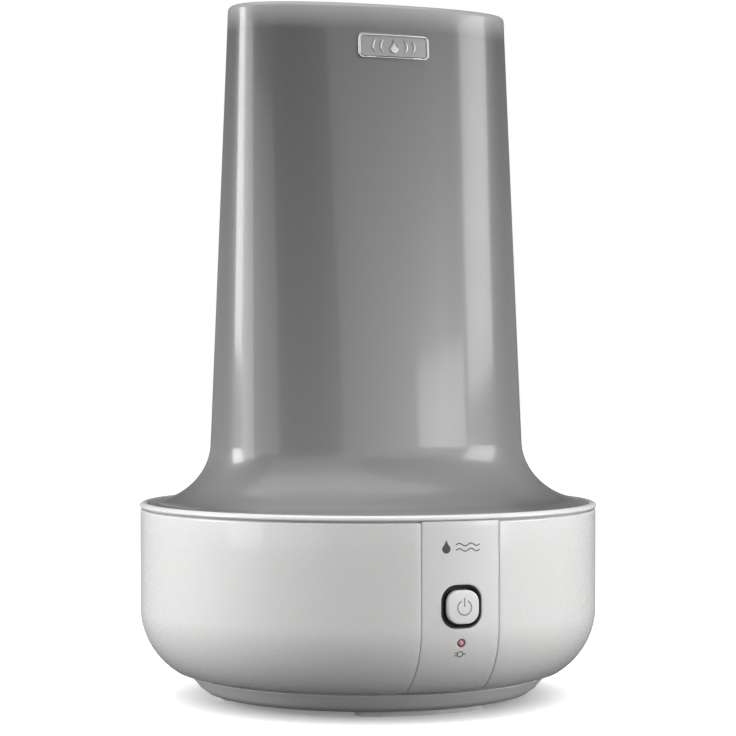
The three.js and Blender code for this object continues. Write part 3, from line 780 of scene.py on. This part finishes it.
def power_sign(cap, face):
    """A broken ring and a bar, printed on the cap's crown."""
    x, width = 0.3, 0.85

    def place(u, v, depth):
        reach = min(1.0, math.hypot(u, v - BUTTON_Z) / 9)
        return (u, face + 0.3 * reach * reach * 0.6 + depth, v)

    ring = arc((x, BUTTON_Z - 0.2), 4.2, 122, 418, 48)
    bar = [(x, BUTTON_Z + 0.6), (x, BUTTON_Z + 5.0)]
    args = (place, 0.06, PALE_PRINT, cap, "power_button", "grey_plastic")
    mark("power_sign_ring", stroke(ring, width), *args)
    mark("power_sign_bar", stroke(bar, width), *args)


def on_panel(x, z, depth):
    """A point on the front of the control panel."""
    r = base_radius(z)
    return (x, -math.sqrt(r * r - x * x) + depth, z)


def indicator():
    """The light's domed lens in a thin dark collar."""
    high = cad("led_lens")[1]
    profile = [(0, 0), (1.85, 0), (1.95, 4.6), (1.2, 5.4), (0.5, 5.62), (0, 5.7)]
    flipped = [(r, -h) for r, h in profile]
    place = (0, high.y - 0.6, LED_Z)
    turned("indicator_lens", flipped, RED_LENS, "base", "red_lens", ["led_lens"], place, "Y", 48, 0.3)
    collar = [(2.02, -4.6), (2.3, -4.6), (2.3, -1), (2.02, -1)]
    place = (0, high.y - 0.9, LED_Z)
    turned("indicator_collar", collar, DARK, "base", "dark_plastic", (), place, "Y", 48, 0.05)


def panel_marks():
    """Printed signs: a plug under the light, and a drop with two mist waves at the top."""
    args = (on_panel, 0.05, PRINT, None, "base", "dark_plastic")
    z, thin = LED_Z - 6.4, 0.56
    left, right, half = -1.6, 0.2, 1.45
    body = [(left, z - half), (right, z - half)] + arc((right, z), half, -80, 80, 12)
    body += [(right, z + half), (left, z + half), (left, z - half)]
    mark("plug_sign_body", stroke(body, thin), *args)
    mark("plug_sign_cord", stroke([(1.9, z), (3.4, z)], thin), *args)
    for k, side in enumerate((-0.75, 0.75)):
        pin = [(-3.2, z + side), (-2.1, z + side)]
        mark(f"plug_sign_pin_{k + 1}", stroke(pin, thin), *args)

    z, start, length, swing = 101.5, -3.5, 14.5, 0.75
    mark("drop_sign", drop_outline(2.5, (-9.5, z - 1.2)), *args)
    for k, height in enumerate((-1.9, 1.1)):
        wave = []
        for i in range(40):
            x = start + length * i / 39
            wave.append((x, z + height + swing * math.sin((x - start) / length * 4 * math.pi)))
        mark(f"mist_sign_{k + 1}", stroke(wave, 0.62), *args)


def bent_line(start, pull, end, count=8):
    """Points between two ends of a line drawn towards a third point."""
    steps = [k / count for k in range(1, count)]
    return [tuple(start * (1 - t) ** 2 + pull * 2 * t * (1 - t) + end * t * t) for t in steps]


def drop_outline(r, centre):
    """A drop: a round belly drawn up to a blunt point."""
    x, z = centre
    belly = arc((x, z), r, -210, 30, 40)
    start, tip, end = Vector(belly[-1]), Vector((x, z + 2.15 * r)), Vector(belly[0])
    right = bent_line(start, Vector((x + 0.3 * r, z + 1.1 * r)), tip)
    left = bent_line(tip, Vector((x - 0.3 * r, z + 1.1 * r)), end)
    return resampled(belly + right + [tuple(tip)] + left, 0.4)


# ------------------------------------------------------------------ tank


def signed_power(value, exponent):
    return math.copysign(abs(value) ** exponent, value)


def half_axes(z):
    """Half width and half depth of the tank's oval at height z."""
    down = TOP_Z - z
    return TANK_HALF_WIDTH + WIDTH_DRAFT * down, TANK_HALF_DEPTH + DEPTH_DRAFT * down


def tank_ring(z, inset=0.0, deck_r=DECK_R, count=288):
    """One ring of the tank wall, inset along its own normals and kept inside the deck."""
    a, b = half_axes(z)
    t = min(max((FLARE_TOP - inset - z) / FLARE_HEIGHT, 0), FLARE_END)
    outward = FLARE_WIDTH * (1 - math.sqrt(1 - t * t)) - inset
    power = 2 / SQUARENESS
    ring = []
    for k in range(count):
        angle = 2 * math.pi * k / count
        c, s = math.cos(angle), math.sin(angle)
        normal = Vector((signed_power(c, 2 - power) / a, signed_power(s, 2 - power) / b))
        spot = Vector((a * signed_power(c, power), b * signed_power(s, power)))
        spot += normal.normalized() * outward
        if spot.length > deck_r:
            spot = spot.normalized() * deck_r
        ring.append((spot.x, spot.y, z))
    return ring


def circle_ring(radius, z, count=288):
    angles = [2 * math.pi * k / count for k in range(count)]
    return [(radius * math.cos(a), radius * math.sin(a), z) for a in angles]


def tank_shell():
    """The flange, flared foot, wall and rounded brim, outside and then inside."""
    edge = 3.0
    flare = [math.sin(math.radians(81.5) * (1 - k / 20)) for k in range(20)]
    outer = [circle_ring(FLANGE_R - 0.4, FLANGE_BOTTOM), circle_ring(FLANGE_R, FLANGE_BOTTOM + 0.4)]
    outer += [circle_ring(r, z) for r, z in arc((FLANGE_R - 0.9, FLANGE_TOP - 0.9), 0.9, 0, 90, 5)]
    outer += [circle_ring(DECK_R + 1.2, FLANGE_TOP), circle_ring(DECK_R + 0.5, FLANGE_TOP + 0.25)]
    outer += [circle_ring(DECK_R - 0.4, FLANGE_TOP + 0.45)]
    outer += [tank_ring(FLARE_TOP - FLARE_HEIGHT * t, deck_r=DECK_R - 1.0) for t in flare]
    outer += [tank_ring(z) for z in (FLARE_TOP, 170, 200, 240, 280, 320, 360, 400)]
    for k in range(7):
        a = math.pi / 2 * k / 6
        outer.append(tank_ring(TOP_Z - edge + edge * math.sin(a), edge * (1 - math.cos(a))))
    wall = TANK_SKIN + 1.6
    inner = [tank_ring(TOP_Z - 0.15, wall - 0.6), tank_ring(TOP_Z - 0.8, wall)]
    inner += [tank_ring(COVER_Z - 3.1, wall), tank_ring(COVER_Z - 3.1, TANK_SKIN)]
    inner += [tank_ring(z, TANK_SKIN) for z in (340, 260, 180)]
    low = FLARE_TOP - TANK_SKIN
    inner += [tank_ring(low - FLARE_HEIGHT * t, TANK_SKIN, DECK_R - 1.2) for t in reversed(flare)]
    inner += [circle_ring(DECK_R - 0.5, FLANGE_TOP - 2.4), circle_ring(DECK_R + 0.1, FLANGE_BOTTOM)]
    points, faces = skin(outer + inner, run_round=True)
    build("tank_wall", points, faces, SMOKE, "tank", "smoke_tank", ["tank_shell"], sharp=50)


def section_loop(z, inset, count=160):
    return [(x, y) for x, y, _ in tank_ring(z, inset, count=count)]


def tank_inside():
    """Base plate with its fill neck, mist chimney and the roof of the water space."""
    low = FLANGE_BOTTOM + 0.2
    thickness = 2.6
    holes = [circle(47.4, count=120), circle(NECK_R, (NECK_X, 0), 72)]
    edge = circle(DECK_R - 0.9, count=240)
    args = (SMOKE, "tank", "smoke_tank")
    level = on_level(low + thickness)
    floor = plate("tank_floor", edge, holes, level, thickness, 0.4, *args, ["tank_base"], 6)
    tube = [(NECK_R, 103), (20, 103), (20, low), (NECK_R, low)]
    neck = turned("fill_neck", tube, *args, centre=(NECK_X, 0, 0), count=96, radius=0.5)
    attach(neck, floor)
    chimney = [
        (47, 97),
        (47, 119),
        (42, 126),
        (24, 142),
        (23, 150),
        (23, 396),
        (20.8, 396),
        (20.8, 150),
        (21.8, 141),
        (39.8, 124.6),
        (44.8, 118),
        (44.8, 97),
    ]
    turned("chimney", chimney, *args, ["mist_chimney"], radius=4)
    outline = section_loop(391, TANK_SKIN + 0.3)
    flue = [circle(23.3, count=72)]
    level = on_level(CEILING_Z)
    plate("tank_ceiling", outline, flue, level, SHEET, 0.4, *args, ["tank_roof"], 5)


def top_cover():
    """Recessed cover with two collars for the nozzles."""
    outline = section_loop(COVER_Z, TANK_SKIN + 1.9)
    nozzle_x = middle("nozzle_right")[0]
    holes = [circle(25.1, (side * nozzle_x, 0), 96) for side in (-1, 1)]
    args = (GREY, "tank", "grey_plastic")
    cover = plate("cover", outline, holes, on_level(COVER_Z), SHEET, 0.4, *args, ["top_cover"], 4)
    collar = [(25, COVER_Z - 1), (22, COVER_Z - 1), (22, COVER_Z - 2.4), (26.2, COVER_Z - 2.4)]
    collar += [(27, COVER_Z), (27, COVER_Z + 3.4), (25, COVER_Z + 3.4)]
    for i, side in enumerate((-1, 1)):
        place = (side * nozzle_x, 0, 0)
        name = f"nozzle_collar_{i + 1}"
        ring = turned(name, collar[::-1], *args, centre=place, count=120, radius=0.5)
        attach(ring, cover)
    for name, side in (("nozzle_left", -1), ("nozzle_right", 1)):
        nozzle(name, side, nozzle_x)


def nozzle(name, side, nozzle_x):
    """A turning dome with a slanted mouth and a grip rib."""
    low = COVER_Z - 0.7
    profile = [
        (0, TOP_Z - 1.6),
        (9, TOP_Z - 1.7),
        (14, TOP_Z - 2.6),
        (24, COVER_Z + 8.2),
        (27.4, COVER_Z + 5.6),
        (27.4, COVER_Z + 3.8),
        (24.5, COVER_Z + 3.7),
        (24.5, low),
        (21.6, low),
        (21.6, COVER_Z + 6.4),
        (11, TOP_Z - 4.2),
        (0, TOP_Z - 4.0),
    ]
    args = (GREY, name, "grey_plastic")
    dome = turned(name + "_dome", profile, *args, [name], count=128, radius=1.6)
    mouth = [(0, -6), (7.4, -6), (7.4, 26), (0, 26)]
    cutter = turned("mouth_cutter", mouth, *args, count=64, radius=0.01)
    tilt = Matrix.Rotation(math.radians(28), 4, "Y")
    cutter.data.transform(Matrix.Translation((0, 0, COVER_Z * MM)) @ tilt)
    cut(dome, cutter)
    grip = round_rectangle(8.5, 2.6, 1.29, 8, (-16.5, 0))
    rib = plate(name + "_grip", grip, [], on_level(TOP_Z - 1.7), 6, 0.7, *args, spacing=1)
    turn = Matrix.Rotation(math.pi if side < 0 else 0, 4, "Z")
    for piece in (dome, rib):
        piece.data.transform(Matrix.Translation((side * nozzle_x * MM, 0, 0)) @ turn)
    attach(rib, dome)


def cut(piece, cutter):
    """The piece less the cutter, applied, with its sharp edges marked again."""
    modifier = piece.modifiers.new("cut", "BOOLEAN")
    modifier.operation = "DIFFERENCE"
    modifier.solver = "EXACT"
    modifier.object = cutter
    bpy.context.view_layer.update()
    depsgraph = bpy.context.evaluated_depsgraph_get()
    shaped = bpy.data.meshes.new_from_object(piece.evaluated_get(depsgraph))
    piece.modifiers.clear()
    piece.data = shaped
    shaped.polygons.foreach_set("use_smooth", [True] * len(shaped.polygons))
    shaped.set_sharp_from_angle(angle=math.radians(35))
    bpy.data.objects.remove(cutter)


def on_tank_front(x, z, depth):
    """A point on the front of the tank wall."""
    a, b = half_axes(z)
    y = -b * (1 - abs(x / a) ** SQUARENESS) ** (1 / SQUARENESS)
    return (x, y + depth, z)


def emblem():
    """A plain bright plate with a drop and two mist arcs on each side, on the tank's front."""
    low, high = cad("emblem")
    z = middle("emblem")[2]
    width, height = high.x * 2, high.z - low.z

    def badge(name, outline, lift, thickness, rounding, spacing, holes=(), replaces=()):
        place = raised(on_tank_front, lift)
        args = (BRIGHT, "tank", "bright_metal", replaces, spacing)
        return plate(name, outline, holes, place, thickness, rounding, *args)

    border = round_rectangle(width, height, 3, centre=(0, z))
    window = round_rectangle(width - 3, height - 3, 1.7, centre=(0, z))
    border_piece = badge("emblem_frame", border, 1.1, 1.2, 0.35, 1.2, [window], ["emblem"])
    field = round_rectangle(width - 2.8, height - 2.8, 1.7, centre=(0, z))
    args = (0.5, 0.1, GREY, "tank", "grey_plastic")
    marks = [plate("emblem_field", field, [], raised(on_tank_front, 0.4), *args, spacing=1.6)]
    marks.append(badge("emblem_drop", drop_outline(2.6, (0, z - 1.6)), 1.2, 0.9, 0.4, 0.8))
    for side, word, direction in ((-1, "left", 180), (1, "right", 0)):
        for k, reach in enumerate((8.5, 13.5)):
            bow = arc((side * (reach - 5), z), 5, direction - 42, direction + 42, 16)
            marks.append(badge(f"emblem_bow_{word}_{k + 1}", stroke(bow, 1.1), 1.0, 0.7, 0.3, 0.8))
    for piece in marks:
        attach(piece, border_piece)


# ------------------------------------------------------------------ water side


def basin():
    """The water tray with its well, and the air post."""
    profile = [
        (13, 83.5),
        (20.5, 83.5),
        (20.5, 89.5),
        (121, 89.5),
        (124.5, 93),
        (124.5, 108),
        (134, 108),
        (134, 110.5),
        (122, 110.5),
        (122, 94.5),
        (119.5, 92),
        (18, 92),
        (18, 86),
        (13, 86),
    ]
    tray = turned("water_basin", profile, GREY, "base", "grey_plastic", ["basin"], count=224, radius=1.4)
    post = [(9, 90), (11, 90), (11, 112), (9, 112)]
    place = (0, 33, 0)
    chute = turned("air_post", post, GREY, "base", "grey_plastic", centre=place, count=72, radius=0.8)
    attach(chute, tray)


def fill_cap():
    """The fill cap with twelve grip ribs."""
    x = middle("fill_cap")[0]
    low = cad("fill_cap")[0].z
    radius, ribs, count = 24.5, 12, 288
    profile = [(4, low), (radius, low), (radius, 111), (20.6, 111), (20.6, 101), (4, 101)]
    outline = softened(profile, 0.9)
    rings = []
    for k in range(count):
        angle = 2 * math.pi * k / count
        swell = 0.9 * max(0, math.cos(ribs * angle)) ** 2
        ring = []
        for r, z in outline:
            reach = r + (swell if r > radius - 1 else 0)
            ring.append((x + reach * math.cos(angle), reach * math.sin(angle), z))
        rings.append(ring)
    points, faces = skin(rings, run_round=True)
    build("fill_cap_shell", points, faces, GREY, "fill_cap", "grey_plastic", ["fill_cap"])


def valve():
    """The cap's seal and plunger, and the pin in the basin below it."""
    x = middle("fill_cap")[0]
    gasket = [(17.4, 101.3), (20, 101.3), (20, 102.7), (17.4, 102.7)]
    args = (SEAL_RUBBER, "cap_seal", "rubber", ["cap_seal"])
    turned("cap_gasket", gasket, *args, (x, 0, 0), count=96)
    stem = [(0, 97.3), (2, 97.3), (2, 104.7), (8, 104.7), (8, 106.7), (2, 107.5), (0, 107.5)]
    args = (DARK, "valve_plunger", "dark_plastic", ["valve_plunger"])
    turned("plunger", stem, *args, (x, 0, 0), count=64, radius=0.5)
    pin = [(0, 92.3), (6, 92.3), (6, 93.3), (2, 93.7), (2, 97), (0, 97)]
    turned("pin", pin, GREY, "base", "grey_plastic", ["valve_pin"], (x, 0, 0), count=48, radius=0.4)


def float_assembly():
    """The float ring and the post it rises on."""
    low, high = cad("water_float")
    place = (*middle("water_float")[:2], 0)
    ring = [(3, low.z), (14, low.z), (14, high.z), (3, high.z)]
    args = (WHITE_SATIN, "water_float", "white_satin", ["water_float"])
    turned("float_ring", ring, *args, place, count=96, radius=1.4)
    post = [(0, 92.3), (2.4, 92.3), (2.4, 110.4), (5, 110.4), (5, 111.8), (0, 111.8)]
    turned("float_stem", post, GREY, "base", "grey_plastic", ["float_post"], place, count=48, radius=0.5)


def cable_entry():
    """The stepped gland where the cord enters at the back."""
    out = cad("cable_gland")[1].y
    profile = [(3.2, 128), (9, 128), (9, 135.5), (7.2, 135.5), (7.2, 140), (9.5, 140)]
    profile += [(9.5, out - 1), (8, out), (3.2, out)]
    args = (WHITE_SATIN, "base", "white_satin", ["cable_gland"])
    turned("cord_gland", profile, *args, (0, 0, middle("cable_gland")[2]), "Y", 96, 0.7)


def screws():
    """Domed heads for the three bottom screws."""
    for i in range(3):
        node = f"bottom_screw_{i + 1}"
        low, high = cad(node)
        head = [(0, low.z), (2.2, low.z + 0.1), (3.4, low.z + 1.1), (3.4, low.z + 2.2)]
        shank = [(1.5, low.z + 2.2), (1.5, high.z - 1), (0, high.z)]
        args = (STEEL, "base", "steel", [node])
        turned(f"screw_{i + 1}", head + shank, *args, (*middle(node)[:2], 0), count=40, radius=0.3)


def finish_hidden_parts():
    """Materials for the CAD nodes; those with no finer piece stay as they are."""
    by_slot = {
        "circuit": CIRCUIT,
        "foam": FOAM,
        "steel": STEEL,
        "aluminium": ALUMINIUM,
        "dark_plastic": DARK,
        "grey_plastic": GREY,
        "rubber": SEAL_RUBBER,
        "red_lens": RED_LENS,
        "white_satin": WHITE_SATIN,
        "white_gloss": WHITE,
        "smoke_tank": SMOKE,
        "bright_metal": BRIGHT,
        "pad_rubber": PAD_RUBBER,
    }
    slots = {part["node"]: part["material_slot"] for part in frame["record"]["subparts"]}
    for name, obj in frame["nodes"].items():
        obj.data.materials.clear()
        obj.data.materials.append(by_slot[slots[name]])


# ------------------------------------------------------------------ studio


def from_camera(turn, elevation, distance):
    """A point round the object, its angles counted from the main view's direction, in metres."""
    azimuth = CAMERA_AZIMUTH + math.radians(turn)
    level = distance * math.cos(math.radians(elevation))
    height = distance * math.sin(math.radians(elevation))
    return Vector((math.sin(azimuth) * level, -math.cos(azimuth) * level, AIM_HEIGHT + height))


# name, degrees round from the main view towards its right, elevation, width and height in
# metres, and radiance; all stand at the same distance, face the object and stay put in other views
LIGHTS = (
    ("left_strip", -79, 14, 0.50, 0.58, 7.5),
    ("left_middle", -60, 8, 0.56, 0.8, 2.8),
    ("left_inner", -34, 5, 0.75, 0.7, 0.9),
    ("right_box", 83, 15, 0.62, 0.60, 3.9),
    ("right_low", 59, 1, 0.60, 0.36, 3.4),
    ("right_front", 42, 9, 1.15, 0.9, 0.8),
    ("front_high", 0, 40, 1.60, 0.9, 0.5),
    ("top", 0, 84, 1.60, 1.6, 1.0),
)
# the same, for large fills that are kept out of reflections
FILLS = (
    ("left_fill", -86, 2, 0.90, 0.9, 3.3),
    ("right_fill", 67, 2, 0.90, 0.9, 3.9),
    ("left_high", -93, 44, 1.40, 1.4, 2.5),
    ("right_high", 84, 46, 1.40, 1.4, 2.5),
    ("left_back", -112, 12, 0.90, 0.9, 0.9),
)
LIGHT_DISTANCE = 1.6


def soft_box(name, turn, elevation, width, height, radiance, mirrored=True):
    """One rectangular light, shown in reflections where mirrored."""
    light = bpy.data.lights.new(name, "AREA")
    light.shape = "RECTANGLE"
    light.size = width
    light.size_y = height
    light.energy = radiance * math.pi * width * height
    lamp = bpy.data.objects.new(name, light)
    lamp.location = from_camera(turn, elevation, LIGHT_DISTANCE)
    aim = Vector((0, 0, AIM_HEIGHT)) - lamp.location
    lamp.rotation_euler = aim.to_track_quat("-Z", "Y").to_euler()
    lamp.visible_camera = False
    lamp.visible_glossy = mirrored
    bpy.context.scene.collection.objects.link(lamp)


def studio():
    """The floor, the room and the lights."""
    floor_mesh = bpy.data.meshes.new("floor")
    half = 6.0
    corners = [(-half, -half, 0), (half, -half, 0), (half, half, 0), (-half, half, 0)]
    floor_mesh.from_pydata(corners, [], [(0, 1, 2, 3)])
    floor_mesh.materials.append(floor_paper())
    floor = bpy.data.objects.new("floor", floor_mesh)
    bpy.context.scene.collection.objects.link(floor)
    surroundings()
    for row in LIGHTS:
        soft_box(*row)
    for row in FILLS:
        soft_box(*row, mirrored=False)
    bpy.context.scene.view_settings.view_transform = "Standard"


def floor_paper():
    """White paper: evenly lit to the camera but dimmed under the object by a painted shadow, and dull to
    other rays.
    """
    material, tree, shader = new_material("floor_paper")
    rays = tree.nodes.new("ShaderNodeLightPath")
    paper = shade(tree, noise(tree, 3), (0.86, 0.86, 0.86), (0.88, 0.88, 0.88))
    mix = tree.nodes.new("ShaderNodeMix")
    mix.data_type = "RGBA"
    set_inputs(mix, {"A": (0.1, 0.1, 0.1, 1)})
    tree.links.new(rays.outputs["Is Camera Ray"], mix.inputs["Factor"])
    tree.links.new(paper, mix.inputs["B"])
    tree.links.new(mix.outputs["Result"], shader.inputs["Base Color"])
    set_inputs(shader, {"Roughness": 0.8, "Emission Color": (1, 1, 1, 1)})
    place = tree.nodes.new("ShaderNodeTexCoord")
    reach = tree.nodes.new("ShaderNodeVectorMath")
    reach.operation = "LENGTH"
    tree.links.new(place.outputs["Object"], reach.inputs[0])
    glow = tree.nodes.new("ShaderNodeMath")
    glow.operation = "MULTIPLY"
    # painted shadow: the camera-ray glow fades out towards the object's centre, standing in for its
    # contact shadow
    painted_shadow = ramp(tree, reach.outputs["Value"], (0.105, 0.17), (0.22, 1))
    tree.links.new(painted_shadow, glow.inputs[1])
    tree.links.new(rays.outputs["Is Camera Ray"], glow.inputs[0])
    tree.links.new(glow.outputs["Value"], shader.inputs["Emission Strength"])
    return material


def surroundings():
    """A white backdrop as the camera sees it; a dim room, paler near the table, for its light."""
    world = bpy.data.worlds.new("studio")
    bpy.context.scene.world = world
    world.use_nodes = True
    tree = world.node_tree
    room = tree.nodes["Background"]
    backdrop = tree.nodes.new("ShaderNodeBackground")
    for node in (room, backdrop):
        set_inputs(node, {"Color": (1, 1, 1, 1), "Strength": 1})
    level = ramp(tree, height_of(tree, "Generated"), (0.06, 0.25), (0.25, 0.06))
    tree.links.new(level, room.inputs["Strength"])
    rays = tree.nodes.new("ShaderNodeLightPath")
    mix = tree.nodes.new("ShaderNodeMixShader")
    tree.links.new(rays.outputs["Is Camera Ray"], mix.inputs["Fac"])
    tree.links.new(room.outputs["Background"], mix.inputs[1])
    tree.links.new(backdrop.outputs["Background"], mix.inputs[2])
    tree.links.new(mix.outputs["Shader"], tree.nodes["World Output"].inputs["Surface"])


def camera():
    """The viewpoint: level with the tank's middle, turned to the left of the front."""
    data = bpy.data.cameras.new("camera")
    data.sensor_width = 36
    data.lens = 117.4
    data.shift_y = -0.0245
    view = bpy.data.objects.new("camera", data)
    x = math.sin(CAMERA_AZIMUTH) * CAMERA_DISTANCE
    y = -math.cos(CAMERA_AZIMUTH) * CAMERA_DISTANCE
    view.location = (x, y, CAMERA_HEIGHT)
    view.rotation_euler = (math.pi / 2, 0, CAMERA_AZIMUTH)
    bpy.context.scene.collection.objects.link(view)
    bpy.context.scene.camera = view


camera()
finish_hidden_parts()
base_shell()
control_panel()
rim()
bottom()
rubber_feet()
button_cup()
button_cap()
indicator()
panel_marks()
tank_shell()
tank_inside()
top_cover()
emblem()
basin()
fill_cap()
valve()
float_assembly()
cable_entry()
screws()
studio()
